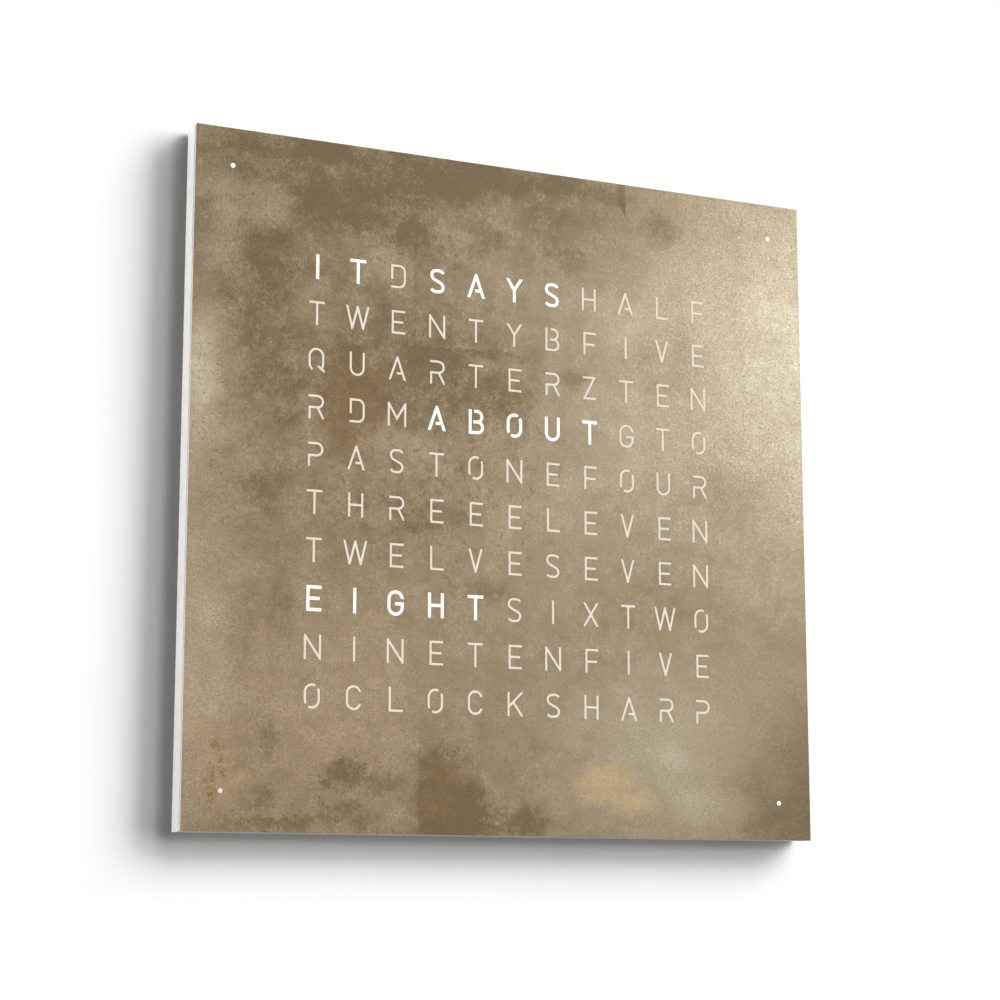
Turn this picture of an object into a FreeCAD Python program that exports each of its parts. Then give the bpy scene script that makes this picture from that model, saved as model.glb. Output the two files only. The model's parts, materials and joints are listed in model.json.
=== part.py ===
import FreeCAD, Part
import math
import os

# Wall-hung word clock, in millimetres. +Z is up, the clock faces -Y and the wall is the plane y = 0.
# Every piece is laid out about the clock's centre, and save() lowers it so that the origin lies
# midway between the two wall screws.

Vector = FreeCAD.Vector

# Overall size
side = 450.0  # width and height of the front plate and of the casing
depth = 20.0  # wall to front face
wall_gap = 1.8  # wall to the casing's back, held open by the bumpers
screw_line = 190.0  # height of the wall screws above the clock's centre

# Front cover
plate_t = 0.5
plate_edge = 0.2  # broken edge round the plate's face
diffuser_t = 2.5
diffuser_inset = 0.4
cover_seam = 0.3  # shadow gap between the cover and the casing
keeper_r, keeper_t = 6.0, 1.0
pin_r, pin_length = 2.0, 6.0

# Letter grid: a cell for each letter, cut as a stencil
letter_rows = (
    "ITDSAYSHALF",
    "TWENTYBFIVE",
    "QUARTERZTEN",
    "RDMABOUTGTO",
    "PASTONEFOUR",
    "THREEELEVEN",
    "TWELVESEVEN",
    "EIGHTSIXTWO",
    "NINETENFIVE",
    "OCLOCKSHARP",
)
columns, rows = 11, 10
column_pitch = 28.22
row_pitch = 31.0
stroke = 1.6
cap = 8.0  # half of the letters' height
mid = cap - stroke / 2  # from a letter's centre to the centre line of its top and bottom strokes
dot_offset = 200.0  # minute dots, from the clock's centre along X and Z
dot_r = 1.6

# Casing: mitred rails round a back panel let into their rebate
rail_w = 12.0
rebate_w = 6.0
panel_t = 3.0
panel_play = 0.2
rail_edge = 0.5
biscuit_r, biscuit_t = 5.0, 2.0
panel_screw_spread = 170.0
panel_screw_r, panel_screw_length = 1.25, 10.0
panel_screw_head_r, panel_screw_head_t = 2.5, 1.5

# Light boards and the egg-crate baffle that keeps each letter's light to itself
tape_t = 0.8
led_board_t = 1.0
rows_per_board = 2
led_board_margin = 7.5  # board beyond the baffle at each side
board_gap = 0.2
baffle_wall = 1.6
led_w, led_h, led_t = 3.5, 2.8, 1.9
corner_board_w = 16.0
tube_r, tube_wall = 6.0, 1.2

# Magnets and locators that hold the cover
magnet_spread, magnet_inset = 140.0, 205.0
magnet_r, magnet_t, magnet_gap = 5.0, 2.5, 0.3
post_r = 6.0
locator_r, locator_play = 5.0, 0.05

# Hanger inside the casing and bracket on the wall
hanger_w, hanger_low, hanger_high, hanger_t = 164.0, 160.0, 211.0, 1.5
hook_offset, hook_w = 50.0, 30.0
slot_play = 2.0
lift = 12.0  # how far the clock is raised to clear the hooks
bracket_t, bracket_w, bracket_h = 1.5, 240.0, 20.0
lip_gap, lip_h = 0.5, 9.0
wall_screw_spacing, wall_screw_hole_r = 200.0, 2.5
screw_head_room = 7.0  # half width of the slots that clear the wall screws' heads
rivet_r, rivet_head_r, rivet_head_t = 1.5, 3.0, 0.8
bumper_r, bumper_offset = 6.0, 190.0

# Control board in the space below the letters
control_w, control_low, control_high = 150.0, -206.0, -168.0
control_t = 1.6
standoff_t, standoff_r = 2.0, 3.0
control_screw_x, control_screw_low, control_screw_high = 69.0, -201.0, -173.0
control_screw_r, control_screw_head_r, control_screw_head_t = 1.25, 2.4, 1.5

# Buttons, power socket and light pipe in the bottom rail
button_x = {"hours": -50.0, "minutes": -30.0, "brightness": -10.0}
button_r, button_play, button_proud, button_travel = 3.0, 0.06, 0.3, 0.8
flange_r, flange_t, flange_gap = 4.0, 1.0, 0.3
plunger_r, plunger_play = 1.6, 0.06
switch_size = 6.0
socket_x, socket_y = 40.0, -9.8
socket_w, socket_deep, socket_length = 10.0, 9.6, 14.0
plug_hole_r, socket_bore_r, socket_pin_r = 4.8, 3.1, 1.0
sensor_x, sensor_y, light_pipe_r = 62.0, -9.6, 1.5

# Positions through the depth, from front to back
half = side / 2
y_face = -depth
y_plate = y_face + plate_t
y_diffuser = y_plate + diffuser_t
y_rim = y_diffuser + cover_seam
y_baffle = y_rim + 0.2
y_back = -wall_gap
y_panel = y_back - panel_t
y_tape = y_panel - tape_t
y_led_board = y_tape - led_board_t
y_standoff = y_panel - standoff_t
y_control = y_standoff - control_t
y_button = y_control - 1.8  # axis of the buttons and of the switches on the control board
inner = half - rail_w
baffle_half_x = (columns * column_pitch + baffle_wall) / 2
baffle_half_z = (rows * row_pitch + baffle_wall) / 2
boards = rows // rows_per_board


def save(name, shape):
    """Write one node, moved from the clock's centre to the wall screws' line."""
    placed = shape.copy()
    placed.translate(Vector(0, 0, -screw_line))
    placed.exportStep("parts/" + name + ".step")


def box(x1, x2, y1, y2, z1, z2):
    low = Vector(min(x1, x2), min(y1, y2), min(z1, z2))
    return Part.makeBox(abs(x2 - x1), abs(y2 - y1), abs(z2 - z1), low)


def block(x, z, width, height, y1, y2):
    """A box centred at x, z that runs from y1 to y2."""
    return box(x - width / 2, x + width / 2, y1, y2, z - height / 2, z + height / 2)


def disc(x, z, radius, y1, y2):
    """A cylinder along Y from y1 to y2."""
    return Part.makeCylinder(radius, abs(y2 - y1), Vector(x, min(y1, y2), z), Vector(0, 1, 0))


def rod(x, y, radius, z1, z2):
    """A cylinder along Z from z1 to z2."""
    return Part.makeCylinder(radius, abs(z2 - z1), Vector(x, y, min(z1, z2)))


def corners(offset_x, offset_z):
    return [(x, z) for x in (-offset_x, offset_x) for z in (-offset_z, offset_z)]


def cell_centre(row, column):
    x = (column - (columns - 1) / 2) * column_pitch
    z = ((rows - 1) / 2 - row) * row_pitch
    return x, z


def row_centre(row):
    return cell_centre(row, 0)[1]


def board_rows(board):
    """The letter rows that a light board lies behind."""
    return range(board * rows_per_board, (board + 1) * rows_per_board)


def board_centre(board):
    served = board_rows(board)
    return (row_centre(served[0]) + row_centre(served[-1])) / 2


# ---- letters -------------------------------------------------------------------------------------
# A letter is made of strokes along centre lines in the XZ plane, trimmed to its own width and to the
# cap height. Bridges are then taken out of the strokes, so that no island of the plate comes loose.


def line(*points):
    """A stroke along straight runs, with mitred corners and square ends."""
    path = [Vector(x, 0, z) for x, z in points]
    runs = [(b - a).normalize() for a, b in zip(path, path[1:])]
    normals = [Vector(-run.z, 0, run.x) for run in runs]
    before = normals[:1] + normals
    after = normals + normals[-1:]
    offsets = [(n + m) * (stroke / 2 / (1 + n.dot(m))) for n, m in zip(before, after)]
    left = [point + offset for point, offset in zip(path, offsets)]
    right = [point - offset for point, offset in zip(path, offsets)]
    outline = left + right[::-1]
    return Part.Face(Part.makePolygon(outline + outline[:1]))


def bow(x, z, radius, start, end):
    """A stroke along an arc, its angles in degrees, anticlockwise from +X seen from the front."""
    edges = []
    for r in (radius + stroke / 2, radius - stroke / 2):
        ends = [math.radians(a) for a in (start, (start + end) / 2, end)]
        points = [Vector(x + r * math.cos(a), 0, z + r * math.sin(a)) for a in ends]
        edges.append((Part.Arc(*points).toShape(), points[0], points[2]))
    (outer, outer_start, outer_end), (inside, inside_start, inside_end) = edges
    first = Part.makeLine(outer_end, inside_end)
    last = Part.makeLine(inside_start, outer_start)
    return Part.Face(Part.Wire([outer, first, inside, last]))


def gap(x, z, width, height=2 * stroke):
    """A place where the stroke is left uncut: its centre and its size."""
    return (x - width / 2, z - height / 2, x + width / 2, z + height / 2)


def oval(*bends):
    """Two straight sides of the ring of O and Q, and those parts of its round ends that bends gives.

    A bend is the side of the letter that it is on, 1 above and -1 below, and its two angles.
    """
    rise = mid - wide_a
    sides = [line((x, -rise), (x, rise)) for x in (-wide_a, wide_a)]
    return sides + [bow(0, end * rise, wide_a, start, stop) for end, start, stop in bends]


def lobe(x, low, high, left):
    """The rounded right side of B, P and R between two heights, joined to the left by bars."""
    radius = (high - low) / 2
    return [
        bow(x, low + radius, radius, -90, 90),
        line((left, low), (x, low)),
        line((left, high), (x, high)),
    ]


far = cap + 2 * stroke  # strokes that are trimmed at the letter's edge run on to here
wide_a = 4.65  # half width of round letters, to the centre line of their strokes
stem_a = 4.5  # from a letter's centre to the centre line of its stems
bar_a = 4.05  # the same for E, F and L, which are narrower
d_r = 4.0
s_r, s_x, s_tip = 3.2, 0.9, 1.3
lobe_r = mid / 2
p_low, r_low = -0.7, -0.3  # heights of the middle bars of P and R


def s_strokes():
    """Two round bends and the slanting run that touches both."""
    rise = mid - s_r
    slant = math.degrees(math.asin(s_r / math.hypot(s_x, rise)) - math.atan2(rise, s_x))
    leave = math.radians(270 + slant)
    x, z = s_r * math.cos(leave) - s_x, s_r * math.sin(leave) + rise
    return [
        bow(s_tip, rise, s_r, 30, 90),
        line((-s_x, mid), (s_tip, mid)),
        bow(-s_x, rise, s_r, 90, 270 + slant),
        line((x, z), (-x, -z)),
        bow(s_x, -rise, s_r, -90, 90 + slant),
        line((s_x, -mid), (-s_tip, -mid)),
        bow(-s_tip, -rise, s_r, 210, 270),
    ]


# letter: (width, strokes, bridges)
glyphs = {
    "A": (12.6, [line((-5.9, -9.6), (0, mid), (5.9, -9.6)), line((-0.5, -3.4), (3.7, -3.4))], []),
    "B": (
        10.7,
        [line((-stem_a, -far), (-stem_a, far))]
        + lobe(stem_a - lobe_r - 0.5, 0, mid, -stem_a)
        + lobe(stem_a - lobe_r, -mid, 0, -stem_a),
        [gap(-2.5, mid, 2.3), gap(-2.8, 0, 1.7)],
    ),
    "C": (
        10.7,
        [
            bow(0, mid - stem_a, stem_a, 0, 180),
            bow(0, stem_a - mid, stem_a, 180, 360),
            line((-stem_a, stem_a - mid), (-stem_a, mid - stem_a)),
        ],
        [gap(stem_a, 0, 3 * stroke, 7.6)],
    ),
    "D": (
        10.7,
        [
            line((stem_a - d_r, -mid), (-far, -mid)),
            line((-stem_a, -2.1), (-stem_a, mid), (stem_a - d_r, mid)),
            bow(stem_a - d_r, mid - d_r, d_r, 0, 90),
            bow(stem_a - d_r, d_r - mid, d_r, 270, 360),
            line((stem_a, d_r - mid), (stem_a, mid - d_r)),
        ],
        [],
    ),
    "E": (9.8, [line((far, mid), (-bar_a, mid), (-bar_a, -mid), (far, -mid)), line((-bar_a, 0), (3.6, 0))], []),
    "F": (9.8, [line((far, mid), (-bar_a, mid), (-bar_a, -far)), line((-bar_a, -0.6), (3.9, -0.6))], []),
    "G": (
        11.0,
        [
            bow(0, mid - wide_a, wide_a, 0, 180),
            bow(0, wide_a - mid, wide_a, 180, 360),
            line((-wide_a, wide_a - mid), (-wide_a, mid - wide_a)),
            line((-0.2, -0.4), (wide_a, -0.4), (wide_a, wide_a - mid)),
        ],
        [gap(wide_a, 1.75, 3 * stroke, 2.6)],
    ),
    "H": (
        10.7,
        [line((-stem_a, -far), (-stem_a, far)), line((stem_a, -far), (stem_a, far)), line((-stem_a, 0), (stem_a, 0))],
        [],
    ),
    "I": (stroke, [line((0, -far), (0, far))], []),
    "K": (
        11.2,
        [line((-4.75, -far), (-4.75, far)), line((-4.75, -2.0), (6.1, 8.96)), line((-1.5, 1.28), (6.1, -9.0))],
        [],
    ),
    "L": (9.8, [line((-bar_a, far), (-bar_a, -mid), (far, -mid))], []),
    "M": (
        13.3,
        [line((-5.8, -far), (-5.8, far)), line((5.8, -far), (5.8, far)), line((-5.8, mid), (0, -2.6), (5.8, mid))],
        [],
    ),
    "N": (11.9, [line((-5.1, -far), (-5.1, mid), (5.1, -mid), (5.1, far))], []),
    "O": (11.0, oval((1, 0, 29), (1, 61, 180), (-1, 180, 209), (-1, 241, 360)), []),
    "P": (
        10.7,
        [line((-stem_a, -far), (-stem_a, p_low))] + lobe(stem_a - (mid - p_low) / 2, p_low, mid, -far),
        [],
    ),
    "Q": (11.9, oval((1, 0, 180), (-1, 180, 236), (-1, 317, 360)) + [line((1.2, -4.0), (6.4, -8.0))], []),
    "R": (
        10.7,
        [line((-stem_a, -far), (-stem_a, r_low)), line((0.9, r_low), (5.6, -8.9))]
        + lobe(stem_a - (mid - r_low) / 2, r_low, mid, -far),
        [],
    ),
    "S": (10.7, s_strokes(), []),
    "T": (10.8, [line((-far, mid), (far, mid)), line((0, mid), (0, -far))], []),
    "U": (
        10.7,
        [
            bow(0, stem_a - mid, stem_a, 180, 360),
            line((-stem_a, stem_a - mid), (-stem_a, far)),
            line((stem_a, stem_a - mid), (stem_a, far)),
        ],
        [],
    ),
    "V": (10.6, [line((-4.9, 9.9), (0, -mid), (4.9, 9.9))], []),
    "W": (16.8, [line((-7.95, 9.9), (-3.8, -mid), (0, mid), (3.8, -mid), (7.95, 9.9))], []),
    "X": (11.4, [line((-5.9, -9.6), (5.9, 9.6)), line((-5.9, 9.6), (5.9, -9.6))], []),
    "Y": (11.4, [line((-6.1, 9.75), (0, 0.2), (6.1, 9.75)), line((0, 0.2), (0, -far))], []),
    "Z": (9.8, [line((-far, mid), (3.75, mid), (-3.75, -mid), (far, -mid))], []),
}
# letters that lean on their left stem stand a little to the right in their cell
nudge = {"B": 0.35, "D": 0.35, "E": 0.5, "F": 0.5, "K": 0.4, "L": 0.6, "P": 0.35, "R": 0.35}


def letter_cutter(letter):
    """The solid that cuts a letter through the front plate, centred on x = z = 0."""
    width, strokes, bridges = glyphs[letter]
    through = plate_t + 1.0
    y_start = y_plate + 0.5
    solids = []
    for face in strokes:
        face = face.copy()
        face.translate(Vector(0, y_start, 0))
        solids.append(face.extrude(Vector(0, -through, 0)))
    shape = solids[0].fuse(solids[1:]) if len(solids) > 1 else solids[0]
    shape = shape.common(box(-width / 2, width / 2, y_start, y_start - through, -cap, cap))
    for x1, z1, x2, z2 in bridges:
        shape = shape.cut(box(x1, x2, y_start + 1, y_start - through - 1, z1, z2))
    return shape.removeSplitter()


# ---- front cover ---------------------------------------------------------------------------------


def front_plate():
    plate = box(-half, half, y_face, y_plate, -half, half)
    rim = [e for e in plate.Edges if all(abs(v.Y - y_face) < 0.01 for v in e.Vertexes)]
    plate = plate.makeChamfer(plate_edge, rim)
    cutters = {letter: letter_cutter(letter) for letter in set("".join(letter_rows))}
    cuts = []
    for row, letters in enumerate(letter_rows):
        for column, letter in enumerate(letters):
            x, z = cell_centre(row, column)
            cutter = cutters[letter].copy()
            cutter.translate(Vector(x + nudge.get(letter, 0.0), 0, z))
            cuts.append(cutter)
    cuts += [disc(x, z, dot_r, y_face - 1, y_plate + 1) for x, z in corners(dot_offset, dot_offset)]
    return plate.cut(cuts)


def diffuser_sheet():
    edge = half - diffuser_inset
    return box(-edge, edge, y_plate, y_diffuser, -edge, edge)


def magnet_places():
    return corners(magnet_spread, magnet_inset) + corners(magnet_inset, magnet_spread)


def locator_places():
    return [(-magnet_inset, 0.0), (magnet_inset, 0.0)]


def cover_keepers():
    y_keeper = y_diffuser + keeper_t
    return Part.makeCompound([disc(x, z, keeper_r, y_diffuser, y_keeper) for x, z in magnet_places()])


def cover_pins():
    pins = []
    for x, z in locator_places():
        pin = disc(x, z, pin_r, y_diffuser, y_diffuser + pin_length)
        tip = [e for e in pin.Edges if abs(e.BoundBox.YMin - y_diffuser - pin_length) < 0.01]
        pins.append(pin.makeChamfer(pin_r / 4, tip))
    return Part.makeCompound(pins)


# ---- casing --------------------------------------------------------------------------------------


def bottom_rail_blank():
    """The bottom rail with its rebate and mitred ends, before its holes."""
    low, high = -half, -inner
    profile = [
        (y_rim, low + rail_edge),
        (y_rim + rail_edge, low),
        (y_back - rail_edge, low),
        (y_back, low + rail_edge),
        (y_back, low + rebate_w),
        (y_panel, low + rebate_w),
        (y_panel, high),
        (y_rim, high),
    ]
    outline = [Vector(-half, y, z) for y, z in profile]
    bar = Part.Face(Part.makePolygon(outline + outline[:1])).extrude(Vector(side, 0, 0))
    wedge_points = [Vector(0, y_face, 0), Vector(-side, y_face, -side), Vector(side, y_face, -side)]
    wedge = Part.Face(Part.makePolygon(wedge_points + wedge_points[:1])).extrude(Vector(0, depth, 0))
    return bar.common(wedge)


def turned(shape, angle):
    """The shape turned about the clock's own axis."""
    copy = shape.copy()
    copy.rotate(Vector(0, 0, 0), Vector(0, 1, 0), angle)
    return copy


def panel_screw_places():
    across = inner + (rail_w - rebate_w) / 2  # middle of the rebate's ledge
    along = (-panel_screw_spread, 0.0, panel_screw_spread)
    return [(t, s * across) for t in along for s in (-1, 1)] + [(s * across, t) for t in along for s in (-1, 1)]


def mitre_biscuits():
    centre = half - rail_w / 2
    y_middle = (y_rim + y_panel) / 2
    ends = (y_middle - biscuit_t / 2, y_middle + biscuit_t / 2)
    return Part.makeCompound([disc(x, z, biscuit_r, *ends) for x, z in corners(centre, centre)])


def casing_rails():
    y_tip = y_back - panel_screw_length
    holes = [disc(x, z, panel_screw_r, y_tip, y_back) for x, z in panel_screw_places()]
    holes.append(mitre_biscuits())
    blank = bottom_rail_blank()
    rails = {}
    for name, angle in (("bottom", 0), ("left", 90), ("top", 180), ("right", 270)):
        rails[name] = turned(blank, angle).cut(holes)
    through = (-half - 1, -inner + 1)
    rail_holes = [rod(x, y_button, button_r + button_play, *through) for x in button_x.values()]
    rail_holes.append(rod(socket_x, socket_y, plug_hole_r, *through))
    rail_holes.append(rod(sensor_x, sensor_y, light_pipe_r, *through))
    rails["bottom"] = rails["bottom"].cut(rail_holes)
    return rails


def panel_screw(x, z):
    """A countersunk screw with a cross recess, its head flush with the back panel."""
    y_neck = y_back - panel_screw_head_t
    y_tip = y_back - panel_screw_length
    shank = disc(x, z, panel_screw_r, y_tip, y_neck)
    cone = Part.makeCone(
        panel_screw_r, panel_screw_head_r, panel_screw_head_t, Vector(x, y_neck, z), Vector(0, 1, 0)
    )
    recess = [block(x, z, 2.6, 0.6, y_back - 0.8, y_back), block(x, z, 0.6, 2.6, y_back - 0.8, y_back)]
    return shank.fuse(cone).removeSplitter().cut(recess)


def panel_screws():
    return Part.makeCompound([panel_screw(x, z) for x, z in panel_screw_places()])


def hook_slot(x, y1, y2):
    """The slot that a hook of the wall bracket passes through when the clock is raised by lift."""
    top = screw_line + bracket_h / 2 + 0.05
    low = top - lift - bracket_t - slot_play / 2
    half_width = hook_w / 2 + slot_play
    return box(x - half_width, x + half_width, y1, y2, low, top)


def head_slot(x):
    """The slot in the back panel that clears a wall screw's head while the clock is raised."""
    ends = (y_panel - 1, y_back + 1)
    upper = disc(x, screw_line, screw_head_room, *ends)
    lower = disc(x, screw_line - lift, screw_head_room, *ends)
    middle = box(x - screw_head_room, x + screw_head_room, *ends, screw_line - lift, screw_line)
    return upper.fuse([middle, lower]).removeSplitter()


def rivet_places():
    reach = hanger_w / 2 - 6
    return [(x, z) for x in (-reach, 0.0, reach) for z in (hanger_low + 4, hanger_high - 5)]


def back_panel():
    edge = half - rebate_w - panel_play
    panel = box(-edge, edge, y_panel, y_back, -edge, edge)
    y_neck = y_back - panel_screw_head_t
    cuts = [disc(x, z, panel_screw_r, y_panel, y_back) for x, z in panel_screw_places()]
    for x, z in panel_screw_places():
        cuts.append(
            Part.makeCone(
                panel_screw_r, panel_screw_head_r, panel_screw_head_t, Vector(x, y_neck, z), Vector(0, 1, 0)
            )
        )
    cuts += [hook_slot(x, y_panel - 1, y_back + 1) for x in (-hook_offset, hook_offset)]
    cuts += [head_slot(x) for x in (-wall_screw_spacing / 2, wall_screw_spacing / 2)]
    cuts += [disc(x, z, rivet_r, y_panel - 1, y_back + 1) for x, z in rivet_places()]
    return panel.cut(cuts)


def hanger_plate():
    y_front = y_panel - hanger_t
    plate = box(-hanger_w / 2, hanger_w / 2, y_front, y_panel, hanger_low, hanger_high)
    upright = [e for e in plate.Edges if abs(e.Vertexes[0].Y - e.Vertexes[-1].Y) > hanger_t / 2]
    plate = plate.makeFillet(3.0, upright)
    cuts = [hook_slot(x, y_front - 1, y_panel + 1) for x in (-hook_offset, hook_offset)]
    cuts += [disc(x, z, rivet_r, y_front - 1, y_panel + 1) for x, z in rivet_places()]
    return plate.cut(cuts)


def hanger_rivets():
    y_front = y_panel - hanger_t
    rivets = []
    for x, z in rivet_places():
        shank = disc(x, z, rivet_r, y_front, y_back)
        heads = [
            disc(x, z, rivet_head_r, y_front - rivet_head_t, y_front),
            disc(x, z, rivet_head_r, y_back, y_back + rivet_head_t),
        ]
        rivets.append(shank.fuse(heads))
    return Part.makeCompound(rivets)


def wall_bumpers():
    return Part.makeCompound([disc(x, z, bumper_r, y_back, 0) for x, z in corners(bumper_offset, bumper_offset)])


# ---- wall bracket --------------------------------------------------------------------------------


def bracket_hook(x):
    """An arm bent forward from the bracket's top edge, with a lip that stands in front of the hanger."""
    top = screw_line + bracket_h / 2
    y_lip = y_panel - hanger_t - lip_gap
    profile = [
        (-bracket_t, top - bracket_t),
        (0, top - bracket_t),
        (0, top),
        (y_lip, top),
        (y_lip, top + lip_h),
        (y_lip - bracket_t, top + lip_h),
        (y_lip - bracket_t, top - bracket_t),
    ]
    outline = [Vector(x - hook_w / 2, y, z) for y, z in profile]
    hook = Part.Face(Part.makePolygon(outline + outline[:1])).extrude(Vector(hook_w, 0, 0))
    bend = [
        e
        for e in hook.Edges
        if abs(e.CenterOfMass.y - y_lip + bracket_t) < 0.01 and abs(e.CenterOfMass.z - top + bracket_t) < 0.01
    ]
    return hook.makeFillet(bracket_t * 0.9, bend)


def wall_bracket():
    low, high = screw_line - bracket_h / 2, screw_line + bracket_h / 2
    plate = box(-bracket_w / 2, bracket_w / 2, -bracket_t, 0, low, high)
    upright = [e for e in plate.Edges if abs(e.Vertexes[0].Y - e.Vertexes[-1].Y) > bracket_t / 2]
    plate = plate.makeFillet(3.0, upright)
    shape = plate.fuse([bracket_hook(x) for x in (-hook_offset, hook_offset)]).removeSplitter()
    screw_x = wall_screw_spacing / 2
    return shape.cut([disc(x, screw_line, wall_screw_hole_r, -bracket_t - 1, 1) for x in (-screw_x, screw_x)])


# ---- light boards and baffle ---------------------------------------------------------------------


def light_baffle():
    grid = box(-baffle_half_x, baffle_half_x, y_baffle, y_led_board, -baffle_half_z, baffle_half_z)
    cells = []
    for row in range(rows):
        for column in range(columns):
            x, z = cell_centre(row, column)
            size = (column_pitch - baffle_wall, row_pitch - baffle_wall)
            cells.append(block(x, z, *size, y_baffle - 1, y_led_board + 1))
    return grid.cut(cells)


def light_board(board):
    width = 2 * (baffle_half_x + led_board_margin)
    height = rows_per_board * row_pitch - board_gap
    return block(0, board_centre(board), width, height, y_led_board, y_tape)


def led_package(x, z):
    """A light-emitting diode: a white body with a round well in its face."""
    y_top = y_led_board - led_t
    body = block(x, z, led_w, led_h, y_top, y_led_board)
    return body.cut(disc(x, z, led_h * 0.38, y_top, y_top + 0.4))


def board_leds(board):
    cells = [cell_centre(row, column) for row in board_rows(board) for column in range(columns)]
    return Part.makeCompound([led_package(x, z) for x, z in cells])


def board_tapes():
    """Foam tape behind the light boards, two runs behind each letter row."""
    width = 2 * baffle_half_x
    tapes = []
    for row in range(rows):
        for offset in (-row_pitch / 4, row_pitch / 4):
            tapes.append(block(0, row_centre(row) + offset, width, 9.0, y_tape, y_panel))
    for x, z in corners(dot_offset, dot_offset):
        tapes.append(block(x, z, corner_board_w - 4, corner_board_w - 4, y_tape, y_panel))
    return Part.makeCompound(tapes)


def board_links():
    """Small connectors that carry power and data from each light board to the next one down."""
    x = baffle_half_x + led_board_margin / 2
    links = []
    for board in range(boards - 1):
        z = (board_centre(board) + board_centre(board + 1)) / 2
        links.append(block(x, z, led_board_margin - 2, 10.0, y_led_board - 2.0, y_led_board))
    return Part.makeCompound(links)


def corner_boards():
    return Part.makeCompound(
        [
            block(x, z, corner_board_w, corner_board_w, y_led_board, y_tape)
            for x, z in corners(dot_offset, dot_offset)
        ]
    )


def corner_leds():
    return Part.makeCompound([led_package(x, z) for x, z in corners(dot_offset, dot_offset)])


def corner_light_tubes():
    tubes = []
    for x, z in corners(dot_offset, dot_offset):
        outer = disc(x, z, tube_r, y_baffle, y_led_board)
        tubes.append(outer.cut(disc(x, z, tube_r - tube_wall, y_baffle - 1, y_led_board + 1)))
    return Part.makeCompound(tubes)


# ---- magnets and locators ------------------------------------------------------------------------


def magnet_posts():
    y_magnet_back = y_diffuser + keeper_t + magnet_gap + magnet_t
    return Part.makeCompound([disc(x, z, post_r, y_magnet_back, y_panel) for x, z in magnet_places()])


def casing_magnets():
    y_front = y_diffuser + keeper_t + magnet_gap
    return Part.makeCompound([disc(x, z, magnet_r, y_front, y_front + magnet_t) for x, z in magnet_places()])


def locator_sockets():
    y_front = y_rim + 1.0
    y_floor = y_diffuser + pin_length + 1.0
    sockets = []
    for x, z in locator_places():
        boss = disc(x, z, locator_r, y_front, y_panel)
        sockets.append(boss.cut(disc(x, z, pin_r + locator_play, y_front - 1, y_floor)))
    return Part.makeCompound(sockets)


# ---- control board -------------------------------------------------------------------------------


def control_screw_places():
    return [(x, z) for x in (-control_screw_x, control_screw_x) for z in (control_screw_low, control_screw_high)]


def control_board():
    board = box(-control_w / 2, control_w / 2, y_control, y_standoff, control_low, control_high)
    notch_half = socket_w / 2 + 0.5
    notch_top = -inner + socket_length + 0.5
    notch = box(socket_x - notch_half, socket_x + notch_half, y_control - 1, y_standoff + 1, control_low - 1, notch_top)
    holes = [disc(x, z, control_screw_r, y_control - 1, y_standoff + 1) for x, z in control_screw_places()]
    return board.cut([notch] + holes)


def board_standoffs():
    y_tip = y_standoff + standoff_t - 0.4
    posts = []
    for x, z in control_screw_places():
        post = disc(x, z, standoff_r, y_standoff, y_panel)
        posts.append(post.cut(disc(x, z, control_screw_r, y_standoff, y_tip)))
    return Part.makeCompound(posts)


def board_screws():
    y_tip = y_standoff + standoff_t - 0.4
    y_top = y_control - control_screw_head_t
    screws = []
    for x, z in control_screw_places():
        shank = disc(x, z, control_screw_r, y_control, y_tip)
        head = disc(x, z, control_screw_head_r, y_top, y_control)
        recess = [block(x, z, 2.6, 0.6, y_top, y_top + 0.8), block(x, z, 0.6, 2.6, y_top, y_top + 0.8)]
        screws.append(shank.fuse(head).cut(recess))
    return Part.makeCompound(screws)


def on_board(x, z, width, height, tall):
    """A rectangular component standing on the control board's face."""
    return block(x, z, width, height, y_control - tall, y_control)


cell_x, cell_z, cell_r, cell_t = -30.0, -186.0, 10.0, 3.2
holder_r, holder_floor = 11.4, 0.8


def cell_holder():
    """A round cup for the back-up cell, open at the top so that the cell can be pushed out."""
    y_top = y_control - holder_floor - cell_t - 0.4
    cup = disc(cell_x, cell_z, holder_r, y_top, y_control)
    well = disc(cell_x, cell_z, cell_r + 0.1, y_top - 1, y_control - holder_floor)
    finger = box(cell_x - 4, cell_x + 4, y_top - 1, y_control - holder_floor, cell_z, cell_z + holder_r + 1)
    return cup.cut([well, finger])


def backup_cell():
    y_floor = y_control - holder_floor
    rim = disc(cell_x, cell_z, cell_r, y_floor - cell_t * 0.75, y_floor)
    face = disc(cell_x, cell_z, cell_r - 1.2, y_floor - cell_t, y_floor - cell_t * 0.75)
    return rim.fuse(face)


def capacitors():
    cans = []
    for z in (-191.0, -182.0):
        can = disc(60.0, z, 3.15, y_control - 7.0, y_control)
        rim = [e for e in can.Edges if abs(e.BoundBox.YMax - y_control + 7.0) < 0.01]
        cans.append(can.makeFillet(0.5, rim))
    return Part.makeCompound(cans)


def driver_chips():
    return Part.makeCompound([on_board(x, -178.0, 8.0, 6.0, 1.5) for x in (28.0, 42.0)])


header_x, header_z, header_w, header_h, header_t = -71.0, -187.0, 6.0, 12.0, 5.0
plug_z, plug_h, plug_t = -135.5, 9.0, 4.0
wire_r, wire_pitch, wire_y, wire_bend = 0.7, 1.8, -9.6, 14.0
wire_count = 3
lead_r, lead_z, lead_bend = 1.0, 150.0, 14.0


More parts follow.
